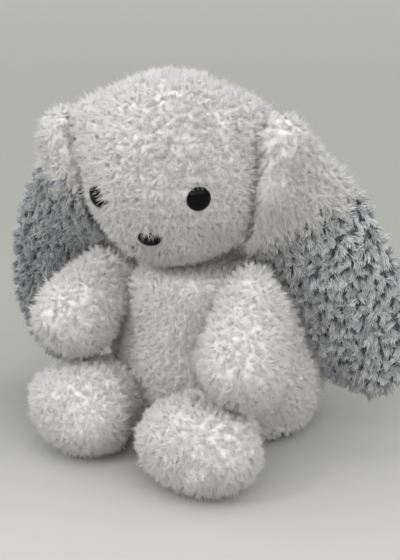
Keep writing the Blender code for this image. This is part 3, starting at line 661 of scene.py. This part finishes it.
def root_ball(radius):
    """Marks for the ball that a limb turns on, from its pole to beside its centre."""
    return [(0, -radius), (0.5 * radius, -0.866 * radius), (0.866 * radius, -0.5 * radius), (radius, 0)]


def arm_rings(side):
    sign = SIDES[side]
    pivot = joint_at(f"arm_{side}_swing")
    wrist, paw, reach = ARM_WRIST, PAW_RADIUS[side], ARM_REACH[side]
    out, down = ARM_OUT[side], ARM_DOWN
    along = Vector((math.sin(out) * math.cos(down), -math.cos(out) * math.cos(down), -math.sin(down)))
    normal = Vector(JOINTS[f"arm_{side}_swing"]["axis"])
    if side == "left":
        normal = -normal
    normal.x *= sign
    along = Matrix.Rotation(-ARM_HANG[side], 3, Vector((abs(normal.x), normal.y, normal.z))) @ along
    along.x *= sign
    marks = [
        *root_ball(ARM_ROOT), (wrist, 0.16 * reach), (wrist + 0.3 * (paw - wrist), 0.36 * reach),
        (wrist + 0.78 * (paw - wrist), 0.64 * reach), (paw, reach), (0.83 * paw, reach + 0.55 * paw),
        (0.5 * paw, reach + 0.87 * paw), (0, reach + paw),
    ]
    return turned_rings(outline_through(marks)) @ aim(along).T + pivot


def leg_rings(side):
    sign = SIDES[side]
    pivot = joint_at(f"leg_{side}_splay")
    root, foot, toe = LEG_ROOT[side], FOOT_RADIUS[side], TOE_LENGTH[side]
    along = np.array((sign * math.sin(LEG_OUT[side]), -math.cos(LEG_OUT[side]), 0)) * LEG_LENGTH
    along[2] = FOOT_CENTRE_HEIGHT - pivot[2]
    reach = np.linalg.norm(along)
    marks = [
        *root_ball(root), (0.75 * foot, 0.3 * reach), (0.93 * foot, 0.65 * reach), (foot, reach + 0.06 * toe),
        (0.86 * foot, reach + 0.55 * toe), (0.52 * foot, reach + 0.88 * toe), (0, reach + toe),
    ]

    def squash(height):
        """Round at the root, and as flat as the foot beyond it."""
        return 1 + (FOOT_HALF_HEIGHT[side] / foot - 1) * min(1, max(0, height / root))

    return turned_rings(outline_through(marks), squash) @ aim(along).T + pivot


# ---------------------------------------------------------------- ears

# Share of the length, then in millimetres: half-width towards the head and away from it, half-thickness
EAR_SHAPE = [
    (0.0, 18, 14, 14), (0.07, 26, 15, 13), (0.16, 33, 18, 11.5), (0.23, 36, 20, 10.5),
    (0.34, 41, 22, 9.8), (0.45, 40, 26, 9), (0.62, 33, 31, 8.6), (0.78, 29, 31, 8),
    (0.9, 24, 25, 6.8), (0.97, 14.7, 14.7, 4.8), (1.0, 0, 0, 0),
]
EAR_WHITE_SHARE = {"left": 0.26, "right": 0.19}  # of the length, at the outer edge
EAR_GREY_SLANT = {"left": 0.0, "right": 0.12}  # of the length, from the outer edge to the inner one
EAR_SKIN_DEPTH = 2.6 * MM
EAR_CAP_RADIUS = 14 * MM  # the round end that is sewn to the head
EAR_CAP_LENGTH = 1.5 * EAR_CAP_RADIUS  # of the skin, over that end
EAR_DROP = 152 * MM
EAR_REACH = {"left": (41 * MM, 50 * MM), "right": (46 * MM, 70 * MM)}  # outwards and back, from root to tip
EAR_BOW = np.array((4 * MM, 0, 26 * MM))  # of the curve's middle handle, from the straight line to the tip
EAR_ROOT_RISE = {"left": -4.5 * MM, "right": 5 * MM}
EAR_ROOT_TWIST = math.radians(58)  # the root lies against the head, and the rest faces forward
EAR_FLAT_BY = 0.42  # share of the drop by which it has turned to face forward


def ear_rings(side):
    """Rings down the ear, from the round end at its root to its tip."""
    sign = SIDES[side]
    root = HEAD_TURNED.T @ (joint_at(f"ear_{side}_lift") - HEAD_CENTRE)
    root[0] *= sign
    tip = root + np.array((*EAR_REACH[side], -EAR_DROP))
    root = root + UP * EAR_ROOT_RISE[side]
    middle = (root + tip) / 2 + EAR_BOW
    first = unit(middle - root)
    rings = [(root - first * EAR_CAP_RADIUS, first, 0, 0, 0)]
    for k in (3, 2, 1):
        lean = math.pi / 2 * k / 4
        radius = EAR_CAP_RADIUS * math.cos(lean)
        rings.append((root - first * EAR_CAP_RADIUS * math.sin(lean), first, radius, radius, radius))
    for t, inner, outer, thick in smooth_line(EAR_SHAPE, 10):
        centre = root * (1 - t) ** 2 + middle * 2 * t * (1 - t) + tip * t * t
        along = unit((middle - root) * (1 - t) + (tip - middle) * t)
        rings.append((centre, along, inner * MM, outer * MM, thick * MM))
    out = np.zeros((len(rings), COLUMNS, 3))
    for i, (centre, along, inner, outer, thick) in enumerate(rings):
        down = np.clip((root[2] - centre[2]) / (EAR_FLAT_BY * EAR_DROP), 0, 1)
        lying = EAR_ROOT_TWIST * (1 - down * down * (3 - 2 * down))
        through = np.array((math.sin(lying), -math.cos(lying), 0))
        through = unit(through - along * (along @ through))
        across = np.cross(through, along)
        across = across * (1 if across[0] > 0 else -1)
        wide = np.where(np.cos(ROUND) > 0, max(outer, SLIVER), max(inner, SLIVER))
        deep = max(thick, SLIVER)
        out[i] = centre + (np.cos(ROUND) * wide)[:, None] * across + (deep * np.sin(ROUND))[:, None] * through
    out[..., 0] *= sign
    return out @ HEAD_TURNED.T + HEAD_CENTRE


# ---------------------------------------------------------------- making the pieces


def finish_piece(obj, body, nodes=()):
    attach(obj, body)
    if nodes:
        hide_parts(*nodes)
    return obj


# per_tuft strands stand within spread of a tuft's middle. The tuft leans outwards on its stitch by lean and
# any way by wild. Its strands draw together by closing and stray by loose, and width is a strand's radius at
# its root. soft is for the shading. patch, clump and single say how much the tone varies over the cover, by
# the tuft and by the strand, and bias brightens or darkens them all, which some pieces use as painted light
# and painted shade.
WHITE_LOOK = dict(per_tuft=11, spread=1.1 * MM, lean=0.5, wild=0.85, closing=0.6, loose=0.15, width=0.27 * MM,
                  bent=False, soft=0.4, patch=0.06, clump=0.13, single=0.12, bias=0.0)
GREY_LOOK = dict(per_tuft=18, spread=1.8 * MM, lean=0.7, wild=0.95, closing=0.74, loose=0.15, width=0.35 * MM,
                 bent=True, soft=0.45, patch=0.1, clump=0.34, single=0.16, bias=0.0)
# The legs' pile is made darker all over: painted shade to tone down the feet, whose tops face up into the
# light.
LEG_LOOK = {**WHITE_LOOK, "bias": -0.4}
PATCH_WIDTH = 17 * MM
MOST_BENT_STRANDS = 19000  # in one piece
MOST_STRAIGHT_STRANDS = 48000


def add_pile(name, body, tufts, material, seed, look, clear=None):
    """The pile that stands on a skin, in pieces of a workable size."""
    root, tip, normal, tuft = strands(tufts, look, seed)
    verts, normals = strand_arrays(root, tip, normal, look["width"], look["bent"], look["soft"])
    tone = tones(tip, tuft, look, seed)
    if clear is not None:
        keep = clear(verts)
        verts, normals, tone = verts[keep], normals[keep], tone[keep]
    most = MOST_BENT_STRANDS if look["bent"] else MOST_STRAIGHT_STRANDS
    parts = max(1, math.ceil(len(verts) / most))
    for k in range(parts):
        piece = slice(k * len(verts) // parts, (k + 1) * len(verts) // parts)
        label = name if parts == 1 else f"{name}_{k + 1}"
        finish_piece(pile_mesh(label, verts[piece], normals[piece], tone[piece], material), body)


def off_the_face(verts):
    """True for strands that stay out of the way of the eyes and the nose. A few hang over the tops of the
    eyes, and the pile over the nose leaves only its lower edge to be seen."""
    keep = np.ones(len(verts), bool)
    lot = RNG.random(len(verts))
    for name, ((origin, axes), wide, tall, _) in FACE.items():
        local = (verts - origin) @ axes
        x, y = local[..., 0] / (wide + 0.2 * MM), local[..., 1] / (tall + 0.2 * MM)
        near = (local[..., 2] > -4 * MM) & (local[..., 2] < 12 * MM) & (x * x + y * y < 1)
        covered = {
            "eye_left": y > 0.72,
            "eye_right": y + 0.8 * x > 0.45,
            "nose": (y > 0.4) | ((np.abs(x - 0.1) < 0.5) & (y > -0.3)),
        }[name]
        spared = lot < 0.02 if name == "nose" else False  # a few strands cross the nose
        keep &= ~(near & ~covered).any(1) | spared
    return keep


def hang_over_face(tufts):
    """Combs the tufts above the nose and beside the right eye inwards, so they hang over them."""
    for name, reach in (("eye_right", 1.9), ("nose", 2.2)):
        (origin, axes), wide, tall, _ = FACE[name]
        local = (tufts.at - origin) @ axes
        x, y = local[:, 0] / wide, local[:, 1] / tall
        away = np.hypot(x, y)
        over = (x * 0.8 + y > 0.3 * away) if name == "eye_right" else (y > 0.8 * away)
        near = over & (away < reach) & (np.abs(local[:, 2]) < 12 * MM)
        inwards = -(x[:, None] * axes[:, 0] + y[:, None] * axes[:, 1]) / np.maximum(away, 0.1)[:, None]
        tufts.comb[near] = (inwards * 0.8)[near]
        tufts.length[near] *= 1.4
    return tufts


# Place, half-width, half-height and height of each dome on the face
FACE = {
    "eye_left": (face_frame(FACE_TURN + EYE_AZIMUTH, EYE_LATITUDE), EYE_RADIUS, EYE_RADIUS, EYE_DOME),
    "eye_right": (face_frame(FACE_TURN - EYE_AZIMUTH, EYE_LATITUDE), EYE_RADIUS, EYE_RADIUS, EYE_DOME),
    "nose": (face_frame(FACE_TURN, NOSE_LATITUDE), NOSE_HALF_WIDTH, NOSE_HALF_HEIGHT, NOSE_DOME),
}


def make_torso_and_tail():
    torso = Skin(torso_rings(), seed=3)
    finish_piece(torso.mesh("torso_skin", WHITE_YARN), "torso", ["torso_cover"])
    # The torso's pile is made lighter: painted light to make up for the shade on its sides.
    add_pile("torso_pile", "torso", Tufts(torso), WHITE_PILE, 11, {**WHITE_LOOK, "bias": 0.3})
    tail = Skin(tail_rings(), seed=4)
    finish_piece(tail.mesh("tail_skin", WHITE_YARN), "torso", ["tail_cover"])
    add_pile("tail_pile", "torso", Tufts(tail), WHITE_PILE, 12, WHITE_LOOK)


def make_head():
    head = Skin(head_rings(), seed=5)
    finish_piece(head.mesh("head_skin", WHITE_YARN), "head", ["head_cover"])
    tufts = hang_over_face(Tufts(head))
    add_pile("head_pile", "head", tufts, WHITE_PILE, 13, WHITE_LOOK, off_the_face)
    for name, (place, wide, tall, dome) in FACE.items():
        finish_piece(dome_piece(f"{name}_dome", place, wide, tall, dome), "head", [name])


def make_limb(limb, rings, skin_seed, pile_seed, look):
    """An arm or a leg: its stitched skin, and the pile on it."""
    skin = Skin(rings, seed=skin_seed)
    finish_piece(skin.mesh(f"{limb}_skin", WHITE_YARN), limb, [f"{limb}_cover"])
    add_pile(f"{limb}_pile", limb, Tufts(skin), WHITE_PILE, pile_seed, look)


def make_ear(side):
    ear = Skin(ear_rings(side), depth=EAR_SKIN_DEPTH, seed=14 + SIDES[side])
    split = (EAR_CAP_LENGTH + EAR_WHITE_SHARE[side] * (ear.length - EAR_CAP_LENGTH)) / ear.length
    change = split - 0.6 * EAR_GREY_SLANT[side]
    finish_piece(ear.mesh(f"ear_{side}_white_skin", WHITE_YARN, 0, change), f"ear_{side}",
                 [f"ear_{side}_white"])
    finish_piece(ear.mesh(f"ear_{side}_grey_skin", GREY_YARN, change, 1), f"ear_{side}",
                 [f"ear_{side}_grey"])
    tufts, grey_tufts = Tufts(ear), Tufts(ear, grid=(2, 3))
    # the right ear's inner edge is folded forward, and its grey starts higher there
    for part, keep_white in ((tufts, True), (grey_tufts, False)):
        inwards = (1 - np.cos(2 * math.pi * part.u)) / 2
        border = split - EAR_GREY_SLANT[side] * inwards + 0.02 * waves(part.at, 12 * MM, 7)
        part.select((part.share < border) == keep_white)
    # white tufts grow longer towards the grey, and both droop
    droop = -0.55 * UP
    tufts.length = tufts.length * (1 + 0.4 * np.clip((tufts.share - split) / 0.1 + 1, 0, 1))
    tufts.comb = tufts.comb + droop * 0.6
    grey_tufts.comb = grey_tufts.comb + droop
    grey_tufts.length = grey_tufts.length * 1.25
    # Painted light and shade: the white pile is made lighter to make up for the shade round the ears, and the
    # grey is lighter on the near left ear and darker on the far right one, which hangs in shade.
    add_pile(f"ear_{side}_white_pile", f"ear_{side}", tufts, WHITE_PILE, 40 + SIDES[side],
             {**WHITE_LOOK, "bias": 0.35})
    add_pile(f"ear_{side}_grey_pile", f"ear_{side}", grey_tufts, GREY_PILE, 50 + SIDES[side],
             {**GREY_LOOK, "bias": {"left": 0.14, "right": -0.42}[side]})


def cad_look(name):
    """The material for a node of the frame: fillings, seams and washers show where the covers open."""
    if name in FACE:
        return BLACK_PLASTIC
    looks = {"_filling": FIBRE, "_seam": SEWING_YARN, "_washer": WASHER_PLASTIC, "_grey": GREY_YARN}
    return next((look for ending, look in looks.items() if name.endswith(ending)), WHITE_YARN)


make_torso_and_tail()
make_head()
for side in SIDES:
    make_limb(f"arm_{side}", arm_rings(side), 6 + SIDES[side], 20 + SIDES[side], WHITE_LOOK)
    make_limb(f"leg_{side}", leg_rings(side), 10 + SIDES[side], 30 + SIDES[side], LEG_LOOK)
    make_ear(side)

for name, node in frame["nodes"].items():
    node.data.materials.clear()
    node.data.materials.append(cad_look(name))


# ---------------------------------------------------------------- floor, light and camera


CAMERA_AZIMUTH = math.radians(35)
CAMERA_ELEVATION = math.radians(17)
CAMERA_DISTANCE = 0.490
CAMERA_TARGET = (0, -33 * MM, 90 * MM)
CAMERA_LENS = 56.9  # mm, on a 36 mm sensor
CAMERA_SHIFT = (0.008, 0.009)
FLOOR_RISE = [  # radius and height, in metres: level, then curving up all round
    (0.02, 0), (1, 0), (2.5, 0), (4, 0.06), (5.5, 0.4), (7, 1.3), (8, 2.6),
]
FLOOR_COLUMNS = 96
FLOOR_NEAREST, FLOOR_FARTHEST = -0.2, 0.5  # metres away from the camera, from the origin, for its tones
FLOOR_TONES = [
    (0.0, (0.565, 0.558, 0.532)), (0.1, (0.555, 0.548, 0.522)), (0.32, (0.39, 0.395, 0.37)),
    (1.0, (0.375, 0.381, 0.355)),
]
WARM_WHITE = (1, 0.995, 0.98)


def make_floor():
    around = np.linspace(0, 2 * math.pi, FLOOR_COLUMNS, endpoint=False)
    rings = np.array([
        np.stack([r * np.cos(around), r * np.sin(around), 0 * around + z], 1)
        for r, z in evenly(smooth_line(FLOOR_RISE, 6), 0.15)])
    index = np.arange(len(rings) * FLOOR_COLUMNS).reshape(-1, FLOOR_COLUMNS)
    nxt = np.roll(index, -1, 1)
    quads = np.stack([index[:-1], index[1:], nxt[1:], nxt[:-1]], -1).reshape(-1, 4)
    verts = np.vstack([rings.reshape(-1, 3), [(0, 0, 0)]])
    tris = np.stack([np.full(FLOOR_COLUMNS, len(verts) - 1), index[0], nxt[0]], -1)
    material, nodes, links, shader = new_material("studio_floor")
    place = nodes.new("ShaderNodeTexCoord")
    turn = nodes.new("ShaderNodeMapping")
    turn.inputs["Rotation"].default_value = (0, 0, -CAMERA_AZIMUTH)
    split = nodes.new("ShaderNodeSeparateXYZ")
    spread = nodes.new("ShaderNodeMapRange")
    spread.inputs["From Min"].default_value = FLOOR_NEAREST
    spread.inputs["From Max"].default_value = FLOOR_FARTHEST
    colours = ramp(nodes, FLOOR_TONES)
    links.new(place.outputs["Object"], turn.inputs["Vector"])
    links.new(turn.outputs["Vector"], split.inputs[0])
    links.new(split.outputs["Y"], spread.inputs["Value"])
    links.new(spread.outputs["Result"], colours.inputs[0])
    links.new(colours.outputs["Color"], shader.inputs["Base Color"])
    shader.inputs["Roughness"].default_value = 0.8
    shader.inputs["Specular IOR Level"].default_value = 0.2
    floor = make_mesh("floor", verts, quads, tris, material)


def make_light(name, at, target, size, power, colour):
    """A small round lamp, for the highlights on the eyes and nose."""
    data = bpy.data.lights.new(name, "AREA")
    data.shape = "DISK"
    data.size = size
    data.energy = power
    data.color = colour
    light = bpy.data.objects.new(name, data)
    bpy.context.scene.collection.objects.link(light)
    light.location = at
    light.rotation_euler = (Vector(target) - Vector(at)).to_track_quat("-Z", "Y").to_euler()


def make_sun(name, at, softness, strength, colour):
    """A soft light from the direction of a point, as even over the floor as over the toy."""
    data = bpy.data.lights.new(name, "SUN")
    data.angle = softness
    data.energy = strength
    data.color = colour
    light = bpy.data.objects.new(name, data)
    bpy.context.scene.collection.objects.link(light)
    light.location = at
    light.rotation_euler = (-Vector(at)).to_track_quat("-Z", "Y").to_euler()


def make_world():
    world = bpy.data.worlds.new("studio")
    bpy.context.scene.world = world
    world.use_nodes = True
    background = world.node_tree.nodes["Background"]
    background.inputs["Color"].default_value = (0.97, 0.985, 0.955, 1)
    background.inputs["Strength"].default_value = 0.72


def make_camera():
    level = math.cos(CAMERA_ELEVATION)
    back = Vector((
        math.sin(CAMERA_AZIMUTH) * level, -math.cos(CAMERA_AZIMUTH) * level, math.sin(CAMERA_ELEVATION)))
    data = bpy.data.cameras.new("camera")
    data.sensor_width = 36
    data.lens = CAMERA_LENS
    data.shift_x, data.shift_y = CAMERA_SHIFT
    data.clip_start = 0.01
    camera = bpy.data.objects.new("camera", data)
    bpy.context.scene.collection.objects.link(camera)
    camera.location = Vector(CAMERA_TARGET) + back * CAMERA_DISTANCE
    camera.rotation_euler = (-back).to_track_quat("-Z", "Y").to_euler()
    bpy.context.scene.camera = camera


make_floor()
make_world()
make_sun("key", (-0.15, -0.55, 1.0), softness=math.radians(90), strength=0.2, colour=WARM_WHITE)
make_sun("right", (0.95, -0.35, 0.5), softness=math.radians(120), strength=1.1, colour=WARM_WHITE)
make_sun("front", (0.6, -0.75, 0.2), softness=math.radians(120), strength=2.25, colour=(1, 0.99, 0.98))
make_light("glint", (-0.15, -0.75, 0.55), target=(0, 0, 0.12), size=0.12, power=1.2, colour=(1, 1, 1))
make_camera()
bpy.context.scene.view_settings.view_transform = "Standard"
